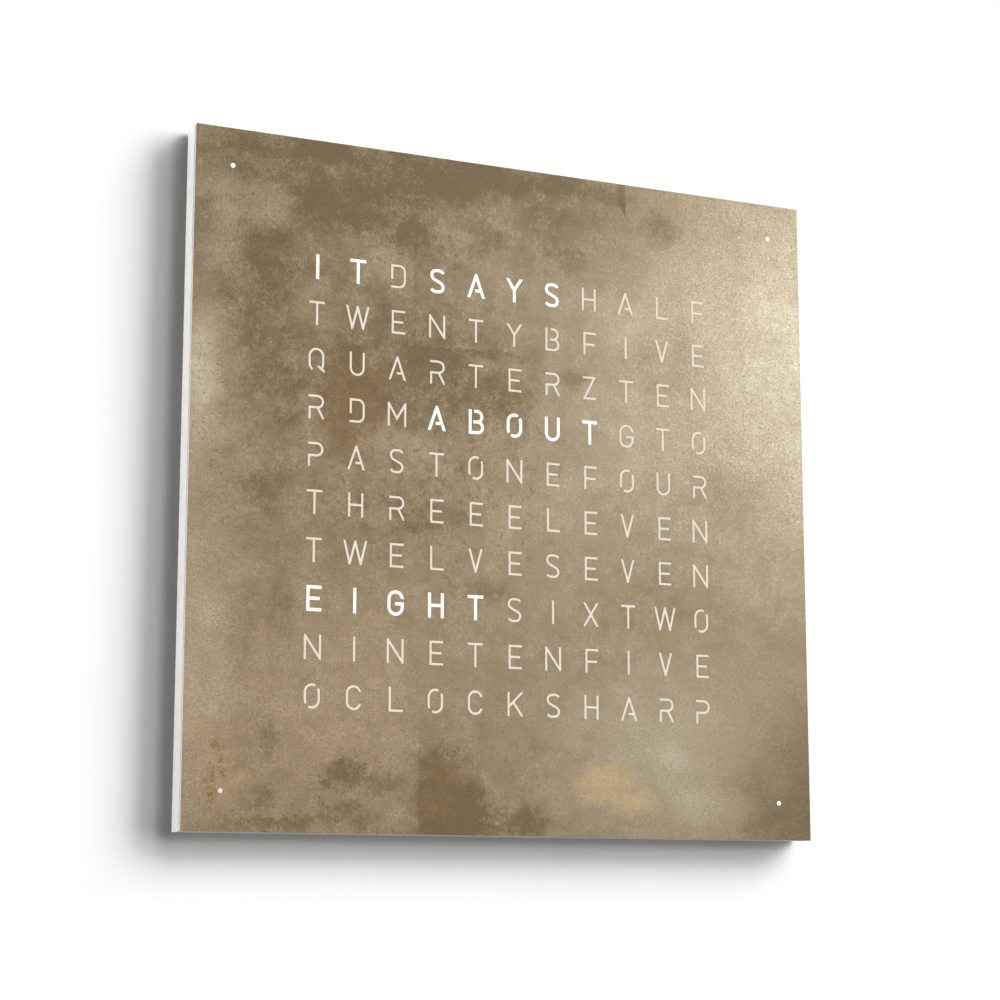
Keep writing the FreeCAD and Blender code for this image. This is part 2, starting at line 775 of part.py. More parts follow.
def bent_tube(start, corner, end, bend, radius):
    """A round wire with one bend in an XZ plane: two straight runs and the arc between them."""
    into = (corner - start).normalize()
    out = (end - corner).normalize()
    before = corner - into * bend
    after = corner + out * bend
    centre = before + out * bend
    middle = centre + (corner - centre).normalize() * bend
    edges = [
        Part.LineSegment(start, before).toShape(),
        Part.Arc(before, middle, after).toShape(),
        Part.LineSegment(after, end).toShape(),
    ]
    profile = Part.Wire(Part.makeCircle(radius, start, into))
    return Part.Wire(edges).makePipeShell([profile], True, False)


def led_wires():
    """Wires from the control board's header to the lowest light board, nested round one bend."""
    wires = []
    plug_x = -(baffle_half_x + led_board_margin / 2)
    for i in range(wire_count):
        step = (i - (wire_count - 1) / 2) * wire_pitch
        start = Vector(header_x - header_w / 2, wire_y, header_z - step)
        corner = Vector(plug_x - step, wire_y, header_z - step)
        end = Vector(plug_x - step, wire_y, plug_z - plug_h / 2)
        wires.append(bent_tube(start, corner, end, wire_bend + step, wire_r))
    return Part.makeCompound(wires)


def wire_plugs():
    """The header on the control board and the plug on the lowest light board."""
    plug_x = -(baffle_half_x + led_board_margin / 2)
    header = on_board(header_x, header_z, header_w, header_h, header_t)
    plug = block(plug_x, plug_z, led_board_margin - 1.5, plug_h, y_led_board - plug_t, y_led_board)
    return Part.makeCompound([header, plug])


def corner_leads():
    """A sleeved lead from the top and bottom light boards to each corner light."""
    x_start = baffle_half_x + 2.5
    z_end = dot_offset - tube_r - 0.5
    leads = []
    y = y_led_board - lead_r
    for sx, sz in corners(1, 1):
        start = Vector(sx * x_start, y, sz * lead_z)
        corner = Vector(sx * (dot_offset - 4), y, sz * lead_z)
        end = Vector(sx * (dot_offset - 4), y, sz * z_end)
        leads.append(bent_tube(start, corner, end, lead_bend, lead_r))
    return Part.makeCompound(leads)


# ---- buttons, socket and light pipe --------------------------------------------------------------

y_switch_front = 2 * y_button - y_control
switch_low = control_low - 2.0
flange_low = -inner + flange_gap
flange_high = flange_low + flange_t
plunger_in = 0.6


def button_cap(x):
    cap_low = -half - button_proud
    stem = rod(x, y_button, button_r, cap_low, flange_low)
    stem = stem.makeFillet(0.25, [e for e in stem.Edges if abs(e.BoundBox.ZMax - cap_low) < 0.01])
    return stem.fuse(rod(x, y_button, flange_r, flange_low, flange_high)).removeSplitter()


def switch_plunger(x):
    return rod(x, y_button, plunger_r, flange_high, switch_low + plunger_in)


def switch_bodies():
    """Push switches on the board's lower edge, each with the bore that its plunger sinks into."""
    bodies = []
    bore_top = switch_low + plunger_in + button_travel + 0.6
    for x in button_x.values():
        body = block(x, switch_low + switch_size / 2, switch_size, switch_size, y_switch_front, y_control)
        bodies.append(body.cut(rod(x, y_button, plunger_r + plunger_play, switch_low - 1, bore_top)))
    return Part.makeCompound(bodies)


def power_socket():
    low, high = -inner, -inner + socket_length
    y1, y2 = socket_y - socket_deep / 2, socket_y + socket_deep / 2
    body = box(socket_x - socket_w / 2, socket_x + socket_w / 2, y1, y2, low, high)
    return body.cut(rod(socket_x, socket_y, socket_bore_r, low - 1, high - 4.0))


def power_socket_pin():
    high = -inner + socket_length - 4.0
    pin = rod(socket_x, socket_y, socket_pin_r, -inner + 1.0, high)
    return pin.makeFillet(0.4, [e for e in pin.Edges if abs(e.BoundBox.ZMax + inner - 1.0) < 0.01])


def light_pipe():
    return rod(sensor_x, sensor_y, light_pipe_r, -half, control_low)


def light_sensor():
    return box(sensor_x - 1.75, sensor_x + 1.75, y_control - 2.6, y_control, control_low, control_low + 2.6)


# ---- all nodes -----------------------------------------------------------------------------------


def main():
    os.makedirs("parts", exist_ok=True)
    save("front_plate", front_plate())
    save("diffuser_sheet", diffuser_sheet())
    save("cover_keepers", cover_keepers())
    save("cover_pins", cover_pins())
    for name, rail in casing_rails().items():
        save("casing_rail_" + name, rail)
    save("mitre_biscuits", mitre_biscuits())
    save("back_panel", back_panel())
    save("back_panel_screws", panel_screws())
    save("hanger_plate", hanger_plate())
    save("hanger_rivets", hanger_rivets())
    save("wall_bumpers", wall_bumpers())
    save("wall_bracket", wall_bracket())
    save("light_baffle", light_baffle())
    for board in range(boards):
        save("light_board_%d" % (board + 1), light_board(board))
        save("board_leds_%d" % (board + 1), board_leds(board))
    save("board_tapes", board_tapes())
    save("board_links", board_links())
    save("corner_boards", corner_boards())
    save("corner_leds", corner_leds())
    save("corner_light_tubes", corner_light_tubes())
    save("magnet_posts", magnet_posts())
    save("casing_magnets", casing_magnets())
    save("locator_sockets", locator_sockets())
    save("control_board", control_board())
    save("board_standoffs", board_standoffs())
    save("board_screws", board_screws())
    save("processor_chip", on_board(8.0, -182.0, 10.0, 10.0, 1.4))
    save("driver_chips", driver_chips())
    save("clock_crystal", on_board(-6.0, -194.0, 8.0, 3.2, 2.4))
    save("capacitors", capacitors())
    save("cell_holder", cell_holder())
    save("backup_cell", backup_cell())
    save("wire_plugs", wire_plugs())
    save("led_wires", led_wires())
    save("corner_leads", corner_leads())
    for name, x in button_x.items():
        save("button_" + name, button_cap(x))
        save("plunger_" + name, switch_plunger(x))
    save("switch_bodies", switch_bodies())
    save("power_socket", power_socket())
    save("power_socket_pin", power_socket_pin())
    save("light_pipe", light_pipe())
    save("light_sensor", light_sensor())


main()
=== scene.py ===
import bpy
import json
import math
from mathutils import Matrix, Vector


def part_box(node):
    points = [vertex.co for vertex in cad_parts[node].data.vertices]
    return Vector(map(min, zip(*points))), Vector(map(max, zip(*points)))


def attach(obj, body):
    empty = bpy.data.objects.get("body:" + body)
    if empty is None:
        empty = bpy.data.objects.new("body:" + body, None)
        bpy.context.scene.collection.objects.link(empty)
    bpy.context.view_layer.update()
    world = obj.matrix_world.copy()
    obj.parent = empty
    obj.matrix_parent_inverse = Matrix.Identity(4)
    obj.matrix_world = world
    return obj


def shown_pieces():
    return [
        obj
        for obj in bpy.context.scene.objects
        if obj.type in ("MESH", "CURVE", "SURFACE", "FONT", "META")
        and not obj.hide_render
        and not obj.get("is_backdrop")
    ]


# The looks of a wall-hung word clock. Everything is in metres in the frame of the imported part: +Z is up, the clock
# faces -Y and the wall is the plane y = 0.

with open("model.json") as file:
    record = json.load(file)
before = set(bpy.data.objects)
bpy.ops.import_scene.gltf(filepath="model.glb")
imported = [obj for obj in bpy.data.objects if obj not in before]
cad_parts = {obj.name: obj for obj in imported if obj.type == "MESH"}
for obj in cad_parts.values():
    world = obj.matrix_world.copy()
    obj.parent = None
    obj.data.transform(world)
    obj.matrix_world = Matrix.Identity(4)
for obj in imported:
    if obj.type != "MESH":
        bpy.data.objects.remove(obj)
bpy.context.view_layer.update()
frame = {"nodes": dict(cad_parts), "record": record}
nodes = frame["nodes"]
MM = 0.001

# Sizes read from the frame
plate_low, plate_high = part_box("front_plate")
centre_x = (plate_low.x + plate_high.x) / 2
centre_z = (plate_low.z + plate_high.z) / 2
y_face = plate_low.y
plate_half = (plate_high.x - plate_low.x) / 2
baffle_low, baffle_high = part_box("light_baffle")
tube_low, tube_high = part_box("corner_light_tubes")
tube_r = 6 * MM
dot_offset = (tube_high.x - tube_low.x) / 2 - tube_r

# The letter grid and what is lit in it, as (row, first column, last column), counted from the top left
columns, rows = 11, 10
baffle_wall = 1.6 * MM
column_pitch = (baffle_high.x - baffle_low.x - baffle_wall) / columns
row_pitch = (baffle_high.z - baffle_low.z - baffle_wall) / rows
lit_words = {"it": (0, 0, 1), "says": (0, 3, 6), "about": (3, 3, 7), "eight": (7, 0, 4)}
lit_dots = ((-1, 1), (1, 1), (1, -1))  # signs of the lit minute dots along X and Z

# The thin sheets of opal in the cuts: how far a lit one spills over the metal for its glare, how far an unlit one keeps
# inside its cut, and how far behind the metal's face each begins and ends
lit_spill = 0.24 * MM
lit_front, lit_back = -0.03 * MM, 0.3 * MM
unlit_inset = 0.10 * MM
unlit_front, unlit_back = 0.01 * MM, 0.06 * MM
edge_slack = 1 * MM  # tells the plate's own outline from its cuts


# ---- camera and light ----------------------------------------------------------------------------

camera_offset = Vector((-0.6554, -1.3891, -0.2737))  # from the middle of the clock's face
camera_heading = math.radians(24.900)  # to the right of straight at the wall
camera_rise = math.radians(9.962)
camera_lens, camera_sensor = 84.555, 36.0
wall_white = 0.34  # how much light the wall gives back; its own lamps bring it up to white
wall_held_back = 0.45  # the share of that which it keeps from the clock's white sides
wall_reach = 3.0
world_light = 0.28  # on matte surfaces, where the camera and reflections see 1.0


def make_camera():
    camera = bpy.data.objects.new("camera", bpy.data.cameras.new("camera"))
    bpy.context.scene.collection.objects.link(camera)
    camera.location = Vector((centre_x, y_face, centre_z)) + camera_offset
    camera.rotation_euler = (math.pi / 2 + camera_rise, 0, -camera_heading)
    camera.data.lens = camera_lens
    camera.data.sensor_width = camera_sensor
    camera.data.clip_start = 0.01
    bpy.context.scene.camera = camera


def aim(obj, direction):
    """Turns a lamp so that it shines along direction."""
    obj.rotation_mode = "QUATERNION"
    obj.rotation_quaternion = Vector(direction).to_track_quat("-Z", "Y")


def sun(name, towards, strength, spread):
    """A far lamp seen in the direction towards, with a disc that is spread degrees wide."""
    lamp = bpy.data.objects.new(name, bpy.data.lights.new(name, "SUN"))
    bpy.context.scene.collection.objects.link(lamp)
    lamp.data.energy = strength
    lamp.data.angle = math.radians(spread)
    aim(lamp, -Vector(towards))
    return lamp


def make_lights():
    """Lamps for the clock, and softer ones for the wall behind it, which give the shadow."""
    on_clock = bpy.data.collections.new("lit_by_clock_lamps")
    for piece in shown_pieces():
        on_clock.objects.link(piece)
    fill = sun("fill_on_matte_surfaces", (0.35, -1.0, 0.25), 1.92, 28)
    fill.visible_glossy = False
    for lamp in (
        sun("key", (1.0, -1.0, 0.5), 0.95, 28),
        fill,
        sun("left_side", (-1.0, 0.35, -0.1), 1.8, 40),
        sun("back", (0.1, 1.0, 0.25), 1.7, 40),
    ):
        lamp.light_linking.receiver_collection = on_clock
        lamp.light_linking.blocker_collection = on_clock
    on_wall = bpy.data.collections.new("lit_by_wall_lamps")
    on_wall.objects.link(bpy.data.objects["wall"])
    for name, towards, share, spread in (
        ("wall_close", (0.48, -1.0, 0.28), 0.11, 18),
        ("wall_low", (1.65, -1.0, 1.25), 0.38, 32),
        ("wall_left", (1.65, -1.0, 0.30), 0.25, 30),
        ("wall_under", (0.50, -1.0, 1.25), 0.17, 30),
    ):
        towards = Vector(towards).normalized()
        lamp = sun(name, towards, share / wall_white * math.pi / -towards.y, spread)
        lamp.light_linking.receiver_collection = on_wall


def make_world():
    """A dim even light on matte surfaces that looks white to the camera and in reflections."""
    world = bpy.data.worlds.new("studio")
    bpy.context.scene.world = world
    world.use_nodes = True
    tree = world.node_tree
    tree.nodes.clear()
    path = tree.nodes.new("ShaderNodeLightPath")
    seen = None
    for ray in ("Is Camera Ray", "Is Glossy Ray", "Is Transmission Ray"):
        if seen is None:
            seen = path.outputs[ray]
            continue
        either = tree.nodes.new("ShaderNodeMath")
        either.operation = "MAXIMUM"
        tree.links.new(seen, either.inputs[0])
        tree.links.new(path.outputs[ray], either.inputs[1])
        seen = either.outputs[0]
    strength = tree.nodes.new("ShaderNodeMapRange")
    strength.inputs["To Min"].default_value = world_light
    strength.inputs["To Max"].default_value = 1.0
    tree.links.new(seen, strength.inputs["Value"])
    background = tree.nodes.new("ShaderNodeBackground")
    background.inputs["Color"].default_value = (1.0, 1.0, 1.0, 1.0)
    tree.links.new(strength.outputs["Result"], background.inputs["Strength"])
    output = tree.nodes.new("ShaderNodeOutputWorld")
    tree.links.new(background.outputs[0], output.inputs["Surface"])


# ---- node trees ----------------------------------------------------------------------------------


class Finish:
    """A material's node tree, built with one short call for each node."""

    def __init__(self, name):
        self.material = bpy.data.materials.new(name)
        self.material.use_nodes = True
        self.tree = self.material.node_tree
        self.tree.nodes.clear()
        self.place = self.add("ShaderNodeTexCoord").outputs["Object"]

    def add(self, kind, inputs=None, **settings):
        node = self.tree.nodes.new(kind)
        for name, value in settings.items():
            setattr(node, name, value)
        for name, value in (inputs or {}).items():
            self.feed(node.inputs[name], value)
        return node

    def feed(self, socket, value):
        if isinstance(value, bpy.types.NodeSocket):
            self.tree.links.new(value, socket)
        elif socket.type == "RGBA" and len(value) == 3:
            socket.default_value = (*value, 1.0)
        else:
            socket.default_value = value

    def calc(self, operation, a, b=0.0):
        return self.add("ShaderNodeMath", {0: a, 1: b}, operation=operation).outputs[0]

    def vector(self, operation, a, b=(0.0, 0.0, 0.0)):
        node = self.add("ShaderNodeVectorMath", {0: a, 1: b}, operation=operation)
        return node.outputs["Value" if operation in ("LENGTH", "DOT_PRODUCT") else "Vector"]

    def stretched(self, scale):
        """The place in millimetres times scale."""
        sockets = {"Vector": self.place, "Scale": [s / MM for s in scale]}
        return self.add("ShaderNodeMapping", sockets, vector_type="POINT").outputs[0]

    def noise(self, size, detail=4.0, roughness=0.5, distortion=0.0, at=None):
        """Cloudy noise with features about size millimetres across."""
        place = self.place if at is None else at
        scale = (1 / MM if at is None else 1.0) / size
        sockets = {"Vector": place, "Scale": scale, "Detail": detail, "Roughness": roughness, "Distortion": distortion}
        return self.add("ShaderNodeTexNoise", sockets).outputs[0]

    def cell_colours(self, size, at=None):
        """A colour at random for each cell, where the cells are about size millimetres across."""
        place = self.place if at is None else at
        scale = (1 / MM if at is None else 1.0) / size
        return self.add("ShaderNodeTexVoronoi", {"Vector": place, "Scale": scale}).outputs["Color"]

    def spread(self, value, low, high, to_low=0.0, to_high=1.0, kind="SMOOTHSTEP"):
        sockets = {"Value": value, "From Min": low, "From Max": high, "To Min": to_low, "To Max": to_high}
        return self.add("ShaderNodeMapRange", sockets, interpolation_type=kind).outputs["Result"]

    def scattered(self, plane, size, reach):
        """A place moved by up to about a quarter of reach by noise, so that shapes drawn there have ragged edges."""
        shift = self.add("ShaderNodeTexNoise", {"Vector": plane, "Scale": 1 / size, "Detail": 5.0, "Roughness": 0.62})
        shift = self.vector("SUBTRACT", shift.outputs["Color"], (0.5, 0.5, 0.5))
        return self.vector("ADD", plane, self.vector("MULTIPLY", shift, (reach, 0.0, reach)))

    def cloud(self, at, x, z, half_x, half_z, outside, inside, lift):
        """lift in the middle of an oval, from inside its half size, falling to 0 at outside its half size."""
        away = self.vector("SUBTRACT", at, (x, 0.0, z))
        away = self.vector("LENGTH", self.vector("MULTIPLY", away, (1 / half_x, 0.0, 1 / half_z)))
        return self.spread(away, outside, inside, 0.0, lift)

    def ramp(self, value, *stops):
        node = self.add("ShaderNodeValToRGB", {"Fac": value})
        elements = node.color_ramp.elements
        while len(elements) < len(stops):
            elements.new(0.5)
        for element, (position, colour) in zip(elements, stops):
            element.position = position
            element.color = (*colour, 1.0)
        return node.outputs["Color"]

    def mix(self, share, a, b, blend="MIX"):
        node = self.add("ShaderNodeMix", data_type="RGBA", blend_type=blend)
        self.feed(node.inputs[0], share)
        self.feed(node.inputs[6], a)
        self.feed(node.inputs[7], b)
        return node.outputs[2]

    def bump(self, height, distance, strength):
        """A normal from height, where a height of 1 stands distance millimetres out."""
        sockets = {"Height": height, "Distance": distance * MM, "Strength": strength}
        return self.add("ShaderNodeBump", sockets).outputs[0]

    def principled(self, **sockets):
        names = {
            "colour": "Base Color",
            "roughness": "Roughness",
            "metallic": "Metallic",
            "normal": "Normal",
            "transmission": "Transmission Weight",
            "ior": "IOR",
            "glow": "Emission Color",
            "glow_strength": "Emission Strength",
        }
        return self.add("ShaderNodeBsdfPrincipled", {names[k]: v for k, v in sockets.items()}).outputs[0]

    def finish(self, shader):
        output = self.add("ShaderNodeOutputMaterial")
        self.tree.links.new(shader, output.inputs["Surface"])
        return self.material

    def from_centre(self):
        """X and Z in millimetres from the clock's centre, as two values."""
        split = self.add("ShaderNodeSeparateXYZ", {0: self.place})
        x = self.calc("DIVIDE", self.calc("SUBTRACT", split.outputs["X"], centre_x), MM)
        z = self.calc("DIVIDE", self.calc("SUBTRACT", split.outputs["Z"], centre_z), MM)
        return x, z

    def inside(self, x, z, x1, x2, z1, z2):
        """1 where x and z lie in the rectangle, else 0."""
        tests = [
            self.calc("GREATER_THAN", x, x1),
            self.calc("LESS_THAN", x, x2),
            self.calc("GREATER_THAN", z, z1),
            self.calc("LESS_THAN", z, z2),
        ]
        inside = tests[0]
        for test in tests[1:]:
            inside = self.calc("MULTIPLY", inside, test)
        return inside

    def lit_mask(self):
        """1 in the cells of the lit words and at the lit dots, else 0."""
        x, z = self.from_centre()
        mask = None
        for row, first, last in lit_words.values():
            x1 = (first - columns / 2) * column_pitch / MM
            x2 = (last + 1 - columns / 2) * column_pitch / MM
            z2 = (rows / 2 - row) * row_pitch / MM
            word = self.inside(x, z, x1, x2, z2 - row_pitch / MM, z2)
            mask = word if mask is None else self.calc("ADD", mask, word)
        for sign_x, sign_z in lit_dots:
            dot_x, dot_z = sign_x * dot_offset / MM, sign_z * dot_offset / MM
            reach = tube_r / MM
            dot = self.inside(x, z, dot_x - reach, dot_x + reach, dot_z - reach, dot_z + reach)
            mask = self.calc("ADD", mask, dot)
        return mask


# ---- the front -----------------------------------------------------------------------------------

# Clouds in the patina, and a painted highlight: centre and half size along X and Z in millimetres from the clock's
# centre, and how much lighter or darker the metal is there. The first two wide ones, lighter at the upper right and
# along the right edge, are a painted highlight. The wide ones have soft edges, the small ones ragged edges. An edge is
# the share of the half size where the change begins and the share where it is full.
wide_edge, small_edge, patch_edge = (1.5, 0.0), (1.25, 0.45), (1.25, 0.4)
wide_clouds_and_highlight = (
    # the first two: painted highlight at the upper right and along the right edge
    (202, 104, 122, 165, 0.36),
    (236, 118, 56, 150, 0.17),
    (70, 110, 120, 140, 0.10),
    (-48, 205, 165, 44, -0.30),
    (-150, 130, 90, 95, -0.10),
    (-60, 78, 84, 52, -0.17),
    (-226, 60, 26, 60, 0.34),
    (-222, -92, 30, 150, 0.26),
    (-130, -135, 110, 80, 0.17),
    (110, -165, 100, 70, 0.26),
    (222, -205, 60, 70, -0.34),
    (8, -46, 74, 70, 0.11),
    (60, 30, 70, 60, 0.08),
)
small_clouds = (
    # top left
    (-150, 217, 80, 9, -0.14),
    (-40, 214, 50, 12, -0.22),
    (-128, 184, 30, 20, -0.20),
    (-172, 140, 20, 30, -0.14),
    (-178, 100, 26, 30, -0.10),
    (-168, 62, 22, 16, -0.20),
    (-160, 36, 9, 8, -0.20),
    (-188, 178, 34, 18, 0.22),
    (-206, 152, 10, 24, 0.14),
    (-128, 206, 14, 7, 0.16),
    (-38, 182, 30, 14, 0.12),
    (-8, 196, 14, 18, 0.18),
    (-112, 163, 16, 6, 0.14),
    (-142, 116, 20, 16, 0.14),
    (-98, 146, 26, 14, 0.16),
    (-75, 168, 14, 12, -0.14),
    (-118, 54, 24, 34, -0.22),
    (-88, 66, 22, 14, -0.12),
    (-58, 86, 30, 14, -0.16),
    (-28, 64, 26, 18, -0.10),
    (-20, 93, 42, 3, -0.20),
    (2, 60, 16, 18, -0.12),
    (-82, 28, 40, 12, 0.18),
    (-216, 72, 10, 38, 0.16),
    (-204, 38, 10, 8, -0.16),
    # bottom left
    (-177, -8, 22, 14, -0.14),
    (-190, -90, 12, 40, -0.06),
    (-162, -88, 10, 34, -0.12),
    (-75, -18, 56, 14, -0.12),
    (-95, -22, 12, 8, 0.16),
    (-24, -66, 22, 10, -0.16),
    (-118, -188, 16, 11, -0.38),
    (-92, -192, 16, 8, -0.14),
    (-168, -168, 7, 14, -0.17),
    (-172, -202, 8, 12, -0.14),
    (-165, -220, 34, 5, -0.22),
    (-116, -214, 26, 9, -0.18),
    (-42, -208, 32, 20, -0.46),
    (-50, -178, 22, 12, -0.20),
    (-36, -223, 50, 6, -0.26),
    (-20, -201, 11, 8, 0.16),
    # top right
    (40, 217, 56, 8, -0.20),
    (112, 195, 16, 14, -0.18),
    (46, 166, 12, 10, -0.14),
    (60, 158, 30, 16, -0.06),
    (122, 98, 36, 34, -0.10),
    (45, 82, 14, 6, -0.14),
    (84, 125, 26, 16, 0.10),
    (166, 8, 26, 30, -0.10),
    # bottom right
    (188, -52, 30, 16, 0.08),
    (118, -170, 13, 11, 0.12),
    (148, -205, 34, 16, 0.12),
    (10, -217, 20, 9, -0.20),
)


def patinated_brass():
    """The front plate: clouds, blotches, pits, marks, rust and a painted highlight, in millimetres from the clock's
    centre.
    """
    f = Finish("patinated_brass")
    x, z = f.from_centre()
    plane = f.add("ShaderNodeCombineXYZ", {"X": x, "Z": z}).outputs[0]
    far = f.scattered(plane, 44, 56)
    near = f.scattered(f.scattered(plane, 30, 20), 7, 14)

    def patches(amount, *ovals):
        """amount inside ragged oval patches, else 0."""
        found = 0.0
        for oval in ovals:
            found = f.calc("MAXIMUM", found, f.cloud(near, *oval, *patch_edge, amount))
        return found

    tone = 0.40
    for oval in wide_clouds_and_highlight:
        tone = f.calc("ADD", tone, f.cloud(far, *oval[:4], *wide_edge, oval[4]))
    for oval in small_clouds:
        tone = f.calc("ADD", tone, f.cloud(near, *oval[:4], *small_edge, oval[4]))

    # blotches and smears, strongest in the dark parts and faint in two calm ones on the right
    calm = f.cloud(far, 190, -165, 110, 90, 1.4, 0.2, -0.8)
    calm = f.calc("ADD", calm, f.cloud(far, 100, 190, 90, 60, 1.3, 0.3, -0.5))
    uneven = f.calc("MULTIPLY", f.spread(tone, 0.15, 0.55, 1.0, 0.38), f.calc("ADD", 1.0, calm))
    drift = f.spread(f.noise(20, 8, 0.62, 0.4, at=plane), 0.25, 0.75, -0.18, 0.18, "LINEAR")
    blotch = f.spread(f.noise(26, 9, 0.68, 0.3, at=plane), 0.45, 0.55)
    flecks = f.spread(f.noise(9, 8, 0.72, 0.3, at=plane), 0.44, 0.58)
    light = f.calc("ADD", f.calc("MULTIPLY", blotch, 0.6), f.calc("MULTIPLY", flecks, 0.4))
    smear = f.noise(1, 5, 0.6, 0.3, at=f.vector("MULTIPLY", near, (1 / 40, 1.0, 1 / 8)))
    smear = f.spread(smear, 0.45, 0.75, 0.0, -0.14)
    change = f.calc("ADD", f.calc("ADD", drift, smear), f.calc("MULTIPLY", f.calc("SUBTRACT", light, 0.5), 0.28))
    tone = f.calc("ADD", tone, f.calc("MULTIPLY", uneven, change))

    # where the patina is thin, it is broken up and the metal below shows as fine light specks
    thin = f.calc("MULTIPLY", f.spread(light, 0.1, 0.9, 0.25, 1.0), f.spread(uneven, 0.3, 0.9, 0.55, 1.0))
    scuffs = f.spread(f.noise(2.4, 6, 0.85, 0.5, at=plane), 0.32, 0.68, -0.34, 0.34, "LINEAR")
    tone = f.calc("ADD", tone, f.calc("MULTIPLY", thin, scuffs))

    # dark wandering marks, and pits
    marked = patches(1.0, (-62, 22, 112, 100), (-118, -190, 26, 22), (-75, 160, 60, 22))
    vein = f.calc("ABSOLUTE", f.calc("SUBTRACT", f.noise(11, 5, 0.7, 0.9, at=plane), 0.5))
    vein = f.calc("MULTIPLY", f.spread(vein, 0.036, 0.0), f.spread(f.noise(7, 3, at=plane), 0.48, 0.62))
    tone = f.calc("ADD", tone, f.calc("MULTIPLY", f.calc("MULTIPLY", marked, vein), -0.44))
    flat = f.add("ShaderNodeCombineXYZ", {"X": x, "Y": z}).outputs[0]
    spot = f.add("ShaderNodeTexVoronoi", {"Vector": flat, "Scale": 1 / 3.0}, voronoi_dimensions="2D")
    chance = f.add("ShaderNodeSeparateColor", {0: spot.outputs["Color"]})
    chosen = f.spread(chance.outputs["Red"], 0.60, 0.95)
    pit = f.calc("MULTIPLY", f.spread(spot.outputs["Distance"], 0.24, 0.08), chosen)
    pitted = patches(
        0.60,
        (-206, -190, 16, 38),
        (-212, 40, 14, 60),
        (-160, -216, 64, 14),
        (-118, -190, 28, 22),
        (-170, -168, 10, 18),
        (-50, -206, 30, 22),
        (-118, 54, 28, 38),
        (-190, 170, 40, 40),
    )
    pitted = f.calc("MAXIMUM", pitted, f.spread(x, 60, -20, 0.0, 0.20))
    tone = f.calc("SUBTRACT", tone, f.calc("MULTIPLY", pitted, pit))

    # a joint of the foil below and to the right, and two faint lines at the top
    joint = f.calc("MULTIPLY", f.spread(x, -68.3, -67.7), f.spread(x, -20.0, -66.0))
    joint = f.calc("MULTIPLY", joint, f.spread(z, -130.0, -190.0))
    tone = f.calc("ADD", tone, f.calc("MULTIPLY", joint, -0.16))
    for line_x, low, high, depth in ((-72.0, 60.0, 215.0, -0.12), (7.0, 150.0, 225.0, -0.08)):
        away = f.calc("ABSOLUTE", f.calc("SUBTRACT", x, line_x))
        line = f.calc("MULTIPLY", f.spread(away, 0.9, 0.2), f.spread(z, low, low + 40.0))
        tone = f.calc("ADD", tone, f.calc("MULTIPLY", line, depth))

    # a dark wedge-shaped mark that comes to a point below the upper edge
    wedge_x, wedge_z, wedge_slope = 86.0, 200.0, 0.62
    from_side = f.calc("SUBTRACT", wedge_x, x)
    wedge = f.calc("SUBTRACT", f.calc("MULTIPLY", f.calc("SUBTRACT", z, wedge_z), wedge_slope), from_side)
    wedge = f.calc("MULTIPLY", f.spread(wedge, 0.0, 1.6), f.spread(from_side, 0.0, 1.0))
    wedge = f.calc("MULTIPLY", wedge, f.spread(from_side, 9.0, 4.0))
    tone = f.calc("ADD", tone, f.calc("MULTIPLY", wedge, f.spread(z, 202, 214, -1.0, -0.22)))

    colour = f.ramp(
        f.calc("DIVIDE", tone, 1.25),
        (0.0, (0.128, 0.097, 0.055)),
        (0.2, (0.169, 0.132, 0.079)),
        (0.4, (0.228, 0.183, 0.120)),
        (0.6, (0.299, 0.251, 0.177)),
        (0.8, (0.383, 0.342, 0.252)),
        (1.0, (0.475, 0.440, 0.335)),
    )
    warmth = f.calc("MULTIPLY", f.spread(x, 90, -130), f.spread(z, 120, -180, 0.4, 1.0))
    colour = f.mix(warmth, colour, f.mix(1.0, colour, (1.065, 1.0, 0.965), "MULTIPLY"))
    ragged = f.spread(f.noise(7, 7, 0.75, at=plane), 0.44, 0.58)
    brown = patches(0.72, (-118, 50, 26, 36), (-88, 70, 20, 9), (-46, -188, 20, 8), (-56, -207, 18, 9))
    colour = f.mix(f.calc("MULTIPLY", brown, f.calc("ADD", 0.4, ragged)), colour, (0.168, 0.112, 0.055))
    orange = patches(0.50, (-187, -193, 9, 6), (-216, -163, 9, 7), (-203, -188, 12, 24))
    colour = f.mix(f.calc("MULTIPLY", orange, f.calc("ADD", 0.3, ragged)), colour, (0.341, 0.239, 0.133))
    rusty = f.spread(f.noise(3.0, 6, 0.8, at=plane), 0.44, 0.58)
    rust = patches(0.95, (-201, -174, 6, 5), (-200, -185, 4, 9), (-209, -192, 6, 9), (-207, -204, 6, 10))
    colour = f.mix(f.calc("MULTIPLY", rust, rusty), colour, (0.186, 0.110, 0.046))
    ochre = patches(0.70, (65, -189, 23, 15), (86, -201, 19, 11), (76, -195, 14, 12))
    ochre = f.calc("MULTIPLY", ochre, f.spread(f.noise(9, 6, 0.6, at=plane), 0.30, 0.56, 0.35, 1.0))
    colour = f.mix(ochre, colour, (0.362, 0.273, 0.145))
